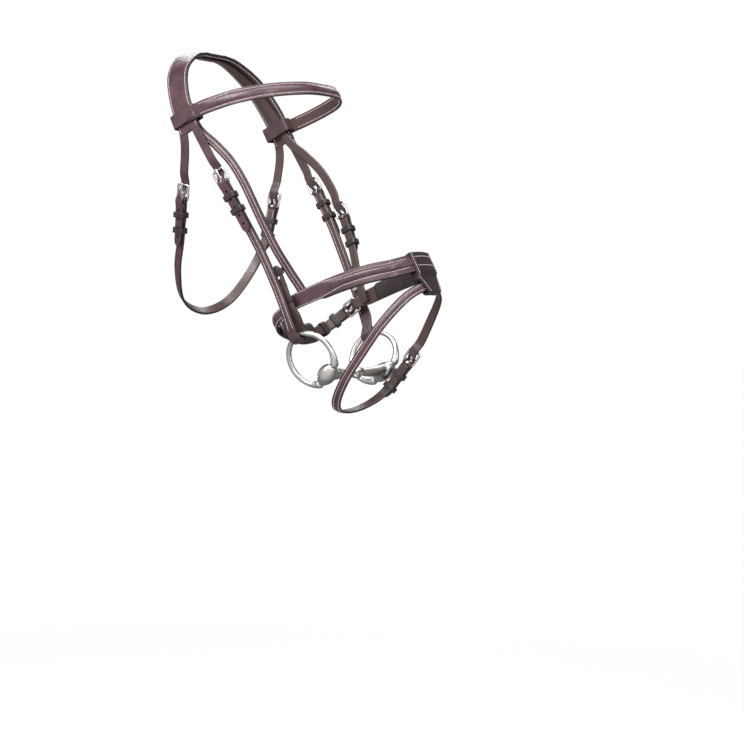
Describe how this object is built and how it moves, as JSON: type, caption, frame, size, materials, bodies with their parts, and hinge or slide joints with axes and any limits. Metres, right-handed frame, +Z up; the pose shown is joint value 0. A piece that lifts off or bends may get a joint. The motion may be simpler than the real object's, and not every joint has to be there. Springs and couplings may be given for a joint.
{
  "type": "snaffle bridle",
  "caption": "Leather riding bridle with browband, throatlash, padded noseband with flash strap, and a jointed eggbutt snaffle bit.",
  "frame": {"origin": "the middle of the flat underside of the lowest strap at the poll, where the bridle hangs behind the horse's ears", "axes": "+Z up, the horse's head faces -Y with its nose line 22 degrees behind the vertical, +X is the horse's left (near) side"},
  "size_m": [0.2166, 0.3523, 0.4507],
  "materials": {
    "bridle_leather": "dark havana bridle leather with a burgundy tint, waxed, pale thread",
    "pad_leather": "soft dark padded lining leather",
    "buckle_steel": "polished stainless steel",
    "bit_steel": "satin stainless steel"
  },
  "bodies": {
    "root": {"headpiece": "bridle_leather", "throatlash": "bridle_leather", "right_throat_buckle_frame": "buckle_steel", "right_throat_fixed_keeper": "bridle_leather", "left_throat_buckle_frame": "buckle_steel", "left_throat_fixed_keeper": "bridle_leather", "left_cheekpiece": "bridle_leather", "left_cheek_buckle_frame": "buckle_steel", "left_cheek_fixed_keeper": "bridle_leather", "left_bit_keeper_upper": "bridle_leather", "left_bit_keeper_lower": "bridle_leather", "left_hook_stud": "buckle_steel", "right_cheekpiece": "bridle_leather", "right_cheek_buckle_frame": "buckle_steel", "right_cheek_fixed_keeper": "bridle_leather", "right_bit_keeper_upper": "bridle_leather", "right_bit_keeper_lower": "bridle_leather", "right_hook_stud": "buckle_steel", "noseband_headstrap": "bridle_leather", "noseband_headstrap_cheek": "bridle_leather", "headstrap_buckle_frame": "buckle_steel", "headstrap_fixed_keeper": "bridle_leather", "nosepiece_strap": "bridle_leather", "nosepiece_padding": "pad_leather", "chin_strap": "bridle_leather", "chin_buckle_frame": "buckle_steel", "chin_fixed_keeper": "bridle_leather", "chin_pad": "pad_leather", "flash_loop": "bridle_leather"},
    "right_throat_tongue": {"right_throat_buckle_tongue": "buckle_steel"},
    "right_throat_runner": {"right_throat_runner": "bridle_leather"},
    "left_throat_tongue": {"left_throat_buckle_tongue": "buckle_steel"},
    "left_throat_runner": {"left_throat_runner": "bridle_leather"},
    "left_cheek_tongue": {"left_cheek_buckle_tongue": "buckle_steel"},
    "left_cheek_runner": {"left_cheek_runner": "bridle_leather"},
    "right_cheek_tongue": {"right_cheek_buckle_tongue": "buckle_steel"},
    "right_cheek_runner": {"right_cheek_runner": "bridle_leather"},
    "headstrap_tongue": {"headstrap_buckle_tongue": "buckle_steel"},
    "headstrap_runner": {"headstrap_runner": "bridle_leather"},
    "chin_tongue": {"chin_buckle_tongue": "buckle_steel"},
    "chin_runner": {"chin_runner": "bridle_leather"},
    "flash_tongue": {"flash_buckle_tongue": "buckle_steel"},
    "flash_runner": {"flash_runner": "bridle_leather"},
    "flash": {"flash_strap": "bridle_leather", "flash_buckle_frame": "buckle_steel", "flash_fixed_keeper": "bridle_leather"},
    "brow": {"browband": "bridle_leather"},
    "left_ring": {"left_bit_ring": "bit_steel"},
    "left_cannon": {"left_mouthpiece": "bit_steel"},
    "right_ring": {"right_bit_ring": "bit_steel"},
    "right_cannon": {"right_mouthpiece": "bit_steel"}
  },
  "joints": [
    {"name": "right_throat_tongue_lift", "type": "hinge", "parent": "root", "child": "right_throat_tongue", "pos_m": [-0.09562, -0.03338, -0.18145], "axis": [-0.0626, -0.9849, -0.1616], "range_deg": [0, 12]},
    {"name": "right_throat_runner_slide", "type": "slide", "parent": "root", "child": "right_throat_runner", "axis": [0.1653, 0.1928, -0.9672], "range_m": [-0.006, 0.006]},
    {"name": "left_throat_tongue_lift", "type": "hinge", "parent": "root", "child": "left_throat_tongue", "pos_m": [0.09562, -0.03338, -0.18145], "axis": [-0.0626, 0.9849, 0.1616], "range_deg": [0, 12]},
    {"name": "left_throat_runner_slide", "type": "slide", "parent": "root", "child": "left_throat_runner", "axis": [0.1653, -0.1928, 0.9672], "range_m": [-0.006, 0.006]},
    {"name": "left_cheek_tongue_lift", "type": "hinge", "parent": "root", "child": "left_cheek_tongue", "pos_m": [0.1001, -0.10009, -0.1641], "axis": [-0.0081, 0.8526, -0.5226], "range_deg": [0, 12]},
    {"name": "left_cheek_runner_slide", "type": "slide", "parent": "root", "child": "left_cheek_runner", "axis": [-0.1082, -0.4897, -0.8652], "range_m": [-0.006, 0.006]},
    {"name": "right_cheek_tongue_lift", "type": "hinge", "parent": "root", "child": "right_cheek_tongue", "pos_m": [-0.1001, -0.10009, -0.1641], "axis": [-0.0081, -0.8526, 0.5226], "range_deg": [0, 12]},
    {"name": "right_cheek_runner_slide", "type": "slide", "parent": "root", "child": "right_cheek_runner", "axis": [0.1082, -0.4897, -0.8652], "range_m": [-0.006, 0.006]},
    {"name": "headstrap_tongue_lift", "type": "hinge", "parent": "root", "child": "headstrap_tongue", "pos_m": [0.09432, -0.14421, -0.19734], "axis": [0.0443, 0.8951, -0.4436], "range_deg": [0, 12]},
    {"name": "headstrap_runner_slide", "type": "slide", "parent": "root", "child": "headstrap_runner", "axis": [-0.2039, -0.4007, -0.8932], "range_m": [-0.006, 0.006]},
    {"name": "chin_tongue_lift", "type": "hinge", "parent": "root", "child": "chin_tongue", "pos_m": [0.07111, -0.16448, -0.3186], "axis": [-0.0256, 0.5655, 0.8243], "range_deg": [0, 4]},
    {"name": "chin_runner_slide", "type": "slide", "parent": "root", "child": "chin_runner", "axis": [-0.8938, 0.2466, -0.3745], "range_m": [-0.0015, 0.0015]},
    {"name": "flash_tongue_lift", "type": "hinge", "parent": "flash", "child": "flash_tongue", "pos_m": [0.06202, -0.25979, -0.3818], "axis": [0.0392, 0.7865, 0.6163], "range_deg": [0, 12]},
    {"name": "flash_runner_slide", "type": "slide", "parent": "flash", "child": "flash_runner", "axis": [-0.2991, 0.5718, -0.7639], "range_m": [-0.004, 0.004]},
    {"name": "flash_swing", "type": "hinge", "parent": "root", "child": "flash", "pos_m": [0, -0.32801, -0.28864], "axis": [1, 0, 0], "range_deg": [-8, 0]},
    {"name": "browband_slide", "type": "slide", "parent": "root", "child": "brow", "axis": [0, -0.4397, -0.8981], "range_m": [-0.005, 0.005]},
    {"name": "bit_turn", "type": "hinge", "parent": "root", "child": "left_ring", "pos_m": [0.07, -0.2056, -0.3753], "axis": [1, 0, 0], "range_deg": [-9, 9]},
    {"name": "left_butt", "type": "hinge", "parent": "left_ring", "child": "left_cannon", "pos_m": [0.06455, -0.22414, -0.39302], "axis": [-0.2079, 0.7071, -0.6758], "range_deg": [-6, 6]},
    {"name": "mouthpiece_fold", "type": "hinge", "parent": "left_cannon", "child": "right_cannon", "pos_m": [0, -0.22414, -0.39302], "axis": [0, 0.7229, -0.6909], "range_deg": [-8, 8]},
    {"name": "right_butt", "type": "hinge", "parent": "right_cannon", "child": "right_ring", "pos_m": [-0.06455, -0.22414, -0.39302], "axis": [0.2079, 0.7071, -0.6758], "range_deg": [-6, 6]}
  ],
  "couplings": [
    {"joint": "left_butt", "follows": "mouthpiece_fold", "ratio": -0.51117},
    {"joint": "right_butt", "follows": "mouthpiece_fold", "ratio": -0.51117}
  ]
}
